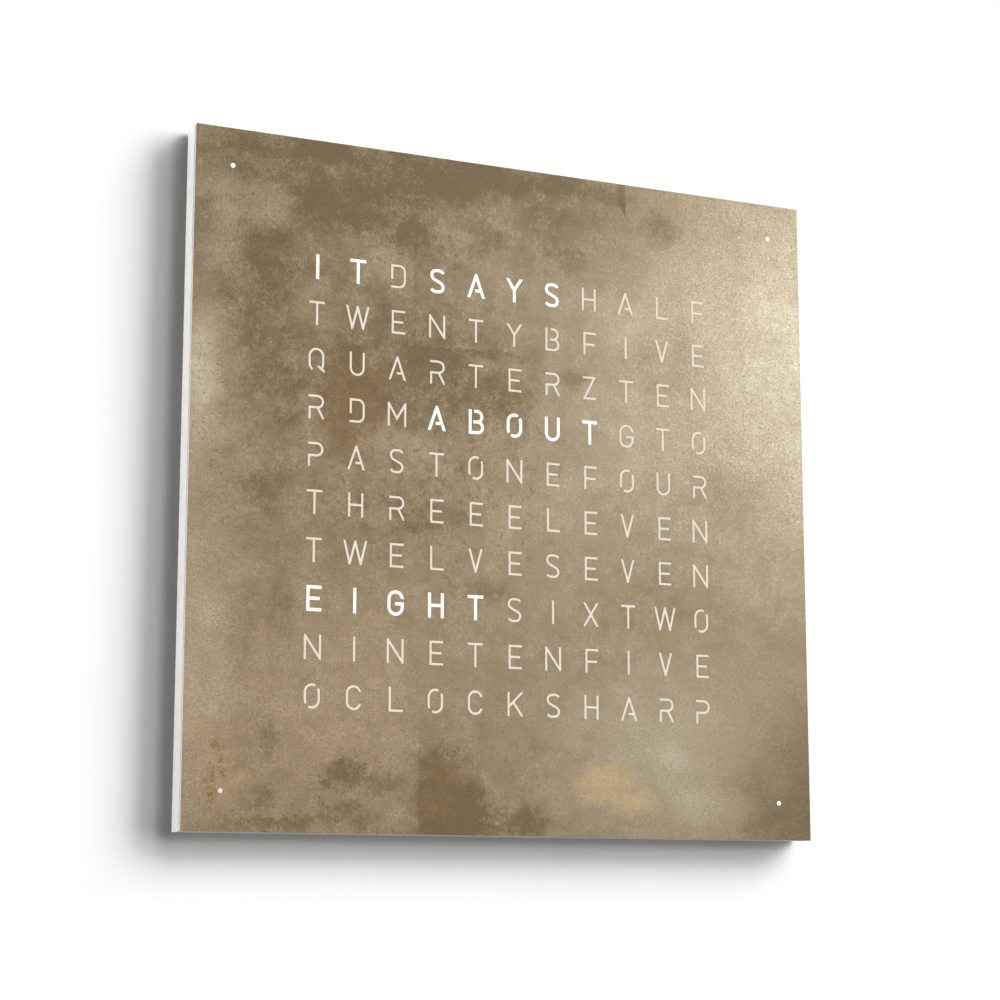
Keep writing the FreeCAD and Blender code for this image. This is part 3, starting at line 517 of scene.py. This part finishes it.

    # grain, and bright and dark flakes: stronger at the upper right as a painted sparkle of the highlight, and on the
    # left
    grain = f.noise(0.45, 1, 0.5, at=plane)
    shade = f.spread(grain, 0.25, 0.75, 0.61, 1.43, "LINEAR")
    flakes_and_glints = f.add("ShaderNodeSeparateColor", {0: f.cell_colours(0.55, at=plane)})
    bright = f.spread(flakes_and_glints.outputs["Red"], 0.7, 1.0, 0.0, 0.55, "LINEAR")
    dark = f.spread(flakes_and_glints.outputs["Green"], 0.7, 1.0, 0.0, -0.42, "LINEAR")
    # upper right term: painted sparkle where the highlight falls; the left term: stronger grain
    glint_and_grain_share = f.calc("MULTIPLY", f.spread(x, 20, 200), f.spread(z, -80, 60, 0.05, 0.62))
    glint_and_grain_share = f.calc("ADD", glint_and_grain_share, f.spread(x, 20, -120, 0.30, 0.46))
    flakes_and_glints = f.calc("MULTIPLY", glint_and_grain_share, f.calc("ADD", bright, dark))
    loose = f.calc("MULTIPLY", f.spread(spot.outputs["Distance"], 0.24, 0.06), f.spread(x, 0, 110))
    loose = f.calc("MULTIPLY", loose, f.spread(z, -90, 10))
    pale_ones = f.spread(chance.outputs["Green"], 0.84, 0.96, 0.0, 0.40)
    dark_ones = f.spread(chance.outputs["Blue"], 0.82, 0.94, 0.0, -0.34)
    loose = f.calc("MULTIPLY", loose, f.calc("ADD", pale_ones, dark_ones))
    shade = f.calc("MULTIPLY", shade, f.calc("ADD", f.calc("ADD", 1.0, flakes_and_glints), loose))
    colour = f.mix(1.0, colour, shade, "MULTIPLY")

    rough = f.calc("ADD", 0.45, f.spread(grain, 0.3, 0.7, -0.05, 0.05, "LINEAR"))
    rough = f.calc("ADD", rough, f.spread(tone, 0.0, 0.8, 0.05, -0.03, "LINEAR"))
    normal = f.bump(f.noise(0.9, 4, 0.8, at=plane), 0.05, 0.8)
    return f.finish(f.principled(colour=colour, roughness=rough, metallic=0.9, normal=normal))


def opal_acrylic():
    """The diffuser, which glows behind the lit letters and dots, and faintly elsewhere as a painted glow."""
    f = Finish("opal_acrylic")
    mask = f.lit_mask()
    cloud = f.spread(f.noise(14, 3), 0.3, 0.7, 0.97, 1.0)
    colour = f.mix(1.0, (0.90, 0.80, 0.70), cloud, "MULTIPLY")
    glow = f.mix(mask, (1.0, 0.88, 0.77), (1.0, 1.0, 1.0))
    # the 0.06 outside the lit cells is a painted glow
    strength = f.spread(mask, 0.0, 1.0, 0.06, 0.9, "LINEAR")
    rough = f.spread(f.noise(6, 3), 0.3, 0.7, 0.42, 0.50)
    normal = f.bump(f.noise(3, 3), 0.01, 0.4)
    return f.finish(
        f.principled(colour=colour, roughness=rough, normal=normal, glow=glow, glow_strength=strength)
    )


def letter_fill(name, colour, glow, strength):
    """The opal seen in the cuts. The lit letters glow, and the unlit ones only a little, a painted glow."""
    f = Finish(name)
    cloud = f.spread(f.noise(5, 3), 0.3, 0.7, 0.98, 1.0)
    colour = f.mix(1.0, colour, cloud, "MULTIPLY")
    glow = f.mix(1.0, glow, cloud, "MULTIPLY")
    rough = f.spread(f.noise(4, 3), 0.3, 0.7, 0.44, 0.52)
    normal = f.bump(f.noise(2, 3), 0.005, 0.4)
    return f.finish(f.principled(colour=colour, roughness=rough, normal=normal, glow=glow, glow_strength=strength))


def cut_outlines():
    """The closed outlines of the plate's cuts on its front face, as lists of (x, z), wound as the face's edge."""
    mesh = nodes["front_plate"].data
    key = {}
    places = []
    vertex_key = []
    for vertex in mesh.vertices:
        spot = (round(vertex.co.x / MM, 3), round(vertex.co.z / MM, 3))
        if spot not in key:
            key[spot] = len(places)
            places.append((vertex.co.x, vertex.co.z))
        vertex_key.append(key[spot])
    edges = {}
    for polygon in mesh.polygons:
        if polygon.normal.y > -0.999 or abs(polygon.center.y - y_face) > 0.01 * MM:
            continue
        ring = [vertex_key[v] for v in polygon.vertices]
        for a, b in zip(ring, ring[1:] + ring[:1]):
            if (b, a) in edges:
                del edges[(b, a)]
            else:
                edges[(a, b)] = True
    following = dict(edges.keys())
    outlines = []
    while following:
        start = next(iter(following))
        ring = [start]
        here = following.pop(start)
        while here != start:
            ring.append(here)
            here = following.pop(here)
        outlines.append([places[i] for i in ring])
    return outlines


def widened(outline, margin):
    """An outline moved outwards by margin, with mitred corners."""
    points = [Vector(p) for p in outline]
    points = [p for p, before in zip(points, points[-1:] + points[:-1]) if (p - before).length > 0.005 * MM]
    area = sum(a.x * b.y - b.x * a.y for a, b in zip(points, points[1:] + points[:1]))
    side = -1.0 if area > 0 else 1.0
    moved = []
    for before, here, after in zip(points[-1:] + points[:-1], points, points[1:] + points[:1]):
        run_in, run_out = (here - before).normalized(), (after - here).normalized()
        n_in, n_out = Vector((-run_in.y, run_in.x)), Vector((-run_out.y, run_out.x))
        share = max(0.25, 1 + n_in.dot(n_out))
        moved.append(here + (n_in + n_out) * (side * margin / share))
    return moved


def flat_fill(name, outlines, y_front, y_back):
    """A thin closed sheet over the outlines."""
    curve = bpy.data.curves.new(name, "CURVE")
    curve.dimensions = "2D"
    curve.fill_mode = "BOTH"
    curve.extrude = (y_back - y_front) / 2
    for outline in outlines:
        spline = curve.splines.new("POLY")
        spline.points.add(len(outline) - 1)
        for point, (x, z) in zip(spline.points, outline):
            point.co = (x, z, 0.0, 1.0)
        spline.use_cyclic_u = True
    shape = bpy.data.objects.new(name + "_outline", curve)
    shape.rotation_euler = (math.pi / 2, 0.0, 0.0)
    shape.location.y = (y_front + y_back) / 2
    bpy.context.scene.collection.objects.link(shape)
    bpy.context.view_layer.update()
    mesh = bpy.data.meshes.new_from_object(shape)
    mesh.transform(shape.matrix_world)
    mesh.name = name
    bpy.data.objects.remove(shape)
    fill = bpy.data.objects.new(name, mesh)
    bpy.context.scene.collection.objects.link(fill)
    return fill


def make_letter_fills():
    """The opal in the cuts. In the lit words it also spills a little over the metal, as a painted glare."""
    found = {"lit_" + name: [] for name in lit_words}
    found["lit_dots"] = []
    found["unlit"] = []
    for outline in cut_outlines():
        x = (min(p[0] for p in outline) + max(p[0] for p in outline)) / 2 - centre_x
        z = (min(p[1] for p in outline) + max(p[1] for p in outline)) / 2 - centre_z
        right_end = max(p[0] for p in outline) - centre_x
        if max(abs(x), abs(z)) < edge_slack and right_end > plate_half - edge_slack:
            continue  # the plate's own outline
        column = math.floor(x / column_pitch + columns / 2)
        row = math.floor(rows / 2 - z / row_pitch)
        home, margin = "unlit", -unlit_inset
        for name, (lit_row, first, last) in lit_words.items():
            if row == lit_row and first <= column <= last:
                home, margin = "lit_" + name, lit_spill
        for sign_x, sign_z in lit_dots:
            if abs(x - sign_x * dot_offset) < tube_r and abs(z - sign_z * dot_offset) < tube_r:
                home, margin = "lit_dots", 0.0
        found[home].append(widened(outline, margin))
    lit = letter_fill("lit_opal", (0.36, 0.35, 0.34), (1.0, 1.0, 1.0), 0.74)
    # the unlit letters' faint glow is painted light, with no diode lit behind them
    unlit = letter_fill("unlit_opal", (0.70, 0.622, 0.528), (1.0, 0.89, 0.76), 0.12)
    for name, outlines in found.items():
        is_lit = name != "unlit"
        front, back = (lit_front, lit_back) if is_lit else (unlit_front, unlit_back)
        sheet = name if name == "lit_dots" else name + "_letters"
        fill = flat_fill(sheet, outlines, y_face + front, y_face + back)
        fill.data.materials.clear()
        fill.data.materials.append(lit if is_lit else unlit)
        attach(fill, "front_cover")


# ---- casing, bracket and inner parts -------------------------------------------------------------


def painted(name, colour, rough, grain_size, grain_depth):
    """A matt coat: its colour drifts a little, with a fine texture."""
    f = Finish(name)
    drift = f.spread(f.noise(60, 5), 0.3, 0.7, 0.96, 1.0)
    tint = f.mix(1.0, colour, drift, "MULTIPLY")
    roughness = f.spread(f.noise(8, 4), 0.3, 0.7, rough - 0.05, rough + 0.05)
    normal = f.bump(f.noise(grain_size, 3), grain_depth, 0.5)
    return f.finish(f.principled(colour=tint, roughness=roughness, normal=normal))


def zinc_steel():
    """Galvanised steel with its spangle, faintly brushed along X."""
    f = Finish("zinc_steel")
    spangle = f.cell_colours(7)
    tone = f.spread(f.vector("DOT_PRODUCT", spangle, (0.33, 0.33, 0.34)), 0.2, 0.8, 0.0, 1.0, "LINEAR")
    drift = f.noise(30, 5)
    colour = f.ramp(
        f.calc("ADD", f.calc("MULTIPLY", tone, 0.5), f.calc("MULTIPLY", drift, 0.5)),
        (0.2, (0.40, 0.41, 0.43)),
        (0.8, (0.62, 0.63, 0.64)),
    )
    brushed = f.noise(1, 4, at=f.stretched((1 / 30, 1 / 0.5, 1 / 0.5)))
    rough = f.calc("ADD", f.spread(tone, 0, 1, 0.30, 0.42, "LINEAR"), f.spread(brushed, 0.3, 0.7, -0.03, 0.05))
    normal = f.bump(brushed, 0.01, 0.4)
    return f.finish(f.principled(colour=colour, roughness=rough, metallic=1.0, normal=normal))


def metal(name, dark, light, rough):
    """Bare metal between two shades, with fine scratches along X."""
    f = Finish(name)
    drift = f.noise(10, 5)
    colour = f.ramp(drift, (0.3, dark), (0.7, light))
    scratches = f.noise(1, 4, at=f.stretched((1 / 8, 1 / 0.3, 1 / 0.3)))
    roughness = f.spread(scratches, 0.3, 0.7, rough - 0.04, rough + 0.06)
    normal = f.bump(scratches, 0.006, 0.4)
    return f.finish(f.principled(colour=colour, roughness=roughness, metallic=1.0, normal=normal))


def moulded(name, colour, rough, depth=0.01):
    """Moulded plastic, rubber or foam with a texture depth millimetres deep."""
    f = Finish(name)
    drift = f.spread(f.noise(12, 4), 0.3, 0.7, 0.94, 1.0)
    tint = f.mix(1.0, colour, drift, "MULTIPLY")
    roughness = f.spread(f.noise(2, 4), 0.3, 0.7, rough - 0.05, rough + 0.05)
    normal = f.bump(f.noise(0.5, 3), depth, 0.5)
    return f.finish(f.principled(colour=tint, roughness=roughness, normal=normal))


def circuit_board(name, mask_colour, track_colour):
    """Solder mask with tracks that run along X."""
    f = Finish(name)
    at = f.stretched((1.0, 1.0, 1.0))
    z = f.from_centre()[1]
    lane = f.calc("FRACT", f.calc("MULTIPLY", z, 1 / 2.4))
    lane_noise = f.noise(1, 2, at=f.vector("MULTIPLY", at, (1 / 22, 0.0, 1 / 2.4)))
    track = f.calc("MULTIPLY", f.spread(lane, 0.55, 0.6), f.spread(lane_noise, 0.48, 0.5))
    colour = f.mix(track, mask_colour, track_colour)
    drift = f.spread(f.noise(40, 4), 0.3, 0.7, 0.94, 1.0)
    colour = f.mix(1.0, colour, drift, "MULTIPLY")
    rough = f.spread(f.noise(5, 3), 0.3, 0.7, 0.32, 0.42)
    normal = f.bump(track, 0.03, 0.5)
    return f.finish(f.principled(colour=colour, roughness=rough, normal=normal))


def led_package():
    """The diodes, lit behind the lit letters and dots."""
    f = Finish("led_package")
    mask = f.lit_mask()
    drift = f.spread(f.noise(2, 3), 0.3, 0.7, 0.92, 1.0)
    colour = f.mix(1.0, (0.90, 0.85, 0.62), drift, "MULTIPLY")
    rough = f.spread(f.noise(1, 3), 0.3, 0.7, 0.28, 0.38)
    strength = f.calc("MULTIPLY", mask, 4.0)
    return f.finish(
        f.principled(colour=colour, roughness=rough, glow=(1.0, 0.97, 0.92), glow_strength=strength)
    )


def beech():
    """Wood with its grain along X."""
    f = Finish("beech")
    grain = f.noise(1, 5, 0.6, 0.4, at=f.stretched((1 / 12, 1 / 1.2, 1 / 1.2)))
    colour = f.ramp(grain, (0.3, (0.38, 0.24, 0.13)), (0.7, (0.60, 0.42, 0.26)))
    rough = f.spread(grain, 0.3, 0.7, 0.62, 0.72)
    normal = f.bump(grain, 0.04, 0.6)
    return f.finish(f.principled(colour=colour, roughness=rough, normal=normal))


def clear_acrylic():
    f = Finish("clear_acrylic")
    drift = f.spread(f.noise(6, 3), 0.3, 0.7, 0.97, 1.0)
    colour = f.mix(1.0, (0.97, 0.98, 0.98), drift, "MULTIPLY")
    rough = f.spread(f.noise(3, 3), 0.3, 0.7, 0.03, 0.08)
    return f.finish(f.principled(colour=colour, roughness=rough, transmission=1.0, ior=1.49))


def dress_nodes():
    """Gives every CAD node the finish of its material slot."""
    finishes = {
        "patinated_brass": patinated_brass(),
        "opal_acrylic": opal_acrylic(),
        "white_lacquer": painted("white_lacquer", (0.80, 0.785, 0.75), 0.42, 1.6, 0.012),
        "white_board": painted("white_board", (0.72, 0.71, 0.68), 0.55, 0.8, 0.02),
        "beech": beech(),
        "zinc_steel": zinc_steel(),
        "rivet_aluminium": metal("rivet_aluminium", (0.60, 0.61, 0.62), (0.74, 0.75, 0.76), 0.35),
        "bumper_rubber": moulded("bumper_rubber", (0.028, 0.028, 0.030), 0.75, 0.03),
        "baffle_plastic": moulded("baffle_plastic", (0.80, 0.80, 0.78), 0.5),
        "foam_tape": moulded("foam_tape", (0.45, 0.45, 0.45), 0.85, 0.05),
        "connector_plastic": moulded("connector_plastic", (0.74, 0.68, 0.54), 0.45),
        "circuit_board_white": circuit_board("circuit_board_white", (0.76, 0.78, 0.76), (0.64, 0.67, 0.65)),
        "circuit_board_green": circuit_board("circuit_board_green", (0.012, 0.085, 0.030), (0.03, 0.16, 0.06)),
        "led_package": led_package(),
        "chip_plastic": moulded("chip_plastic", (0.012, 0.012, 0.014), 0.5),
        "nickel": metal("nickel", (0.58, 0.56, 0.52), (0.72, 0.70, 0.66), 0.18),
        "capacitor_can": metal("capacitor_can", (0.55, 0.56, 0.58), (0.70, 0.71, 0.73), 0.28),
        "brass_standoff": metal("brass_standoff", (0.55, 0.38, 0.13), (0.72, 0.53, 0.22), 0.28),
        "wire_sleeve": moulded("wire_sleeve", (0.035, 0.035, 0.042), 0.5),
        "button_plastic": moulded("button_plastic", (0.74, 0.73, 0.70), 0.45),
        "clear_acrylic": clear_acrylic(),
    }
    for part in frame["record"]["subparts"]:
        nodes[part["node"]].material_slots[0].material = finishes[part["material_slot"]]


# ---- wall ----------------------------------------------------------------------------------------


def make_wall():
    """The white wall that the clock hangs on. Seen from behind it is clear, so that the clock's back shows."""
    f = Finish("wall_paint")
    cloud = f.spread(f.noise(300, 4), 0.3, 0.7, wall_white, wall_white + 0.01)
    bounced = f.add("ShaderNodeLightPath").outputs["Is Diffuse Ray"]  # less of its light on the clock's white sides
    paint = f.calc("MULTIPLY", cloud, f.calc("SUBTRACT", 1.0, f.calc("MULTIPLY", bounced, wall_held_back)))
    front = f.add("ShaderNodeBsdfDiffuse", {"Color": paint}).outputs[0]
    behind = f.add("ShaderNodeNewGeometry").outputs["Backfacing"]
    clear = f.add("ShaderNodeBsdfTransparent").outputs[0]
    shader = f.add("ShaderNodeMixShader", {0: behind, 1: front, 2: clear}).outputs[0]
    corners = ((-1, -1), (1, -1), (1, 1), (-1, 1))
    mesh = bpy.data.meshes.new("wall")
    mesh.from_pydata([(x * wall_reach, 0.0, z * wall_reach) for x, z in corners], [], [(0, 1, 2, 3)])
    mesh.materials.append(f.finish(shader))
    wall = bpy.data.objects.new("wall", mesh)
    bpy.context.scene.collection.objects.link(wall)
    wall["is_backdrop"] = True


def main():
    bpy.context.scene.view_settings.view_transform = "Standard"
    make_camera()
    dress_nodes()
    make_letter_fills()
    make_wall()
    make_world()
    make_lights()


main()
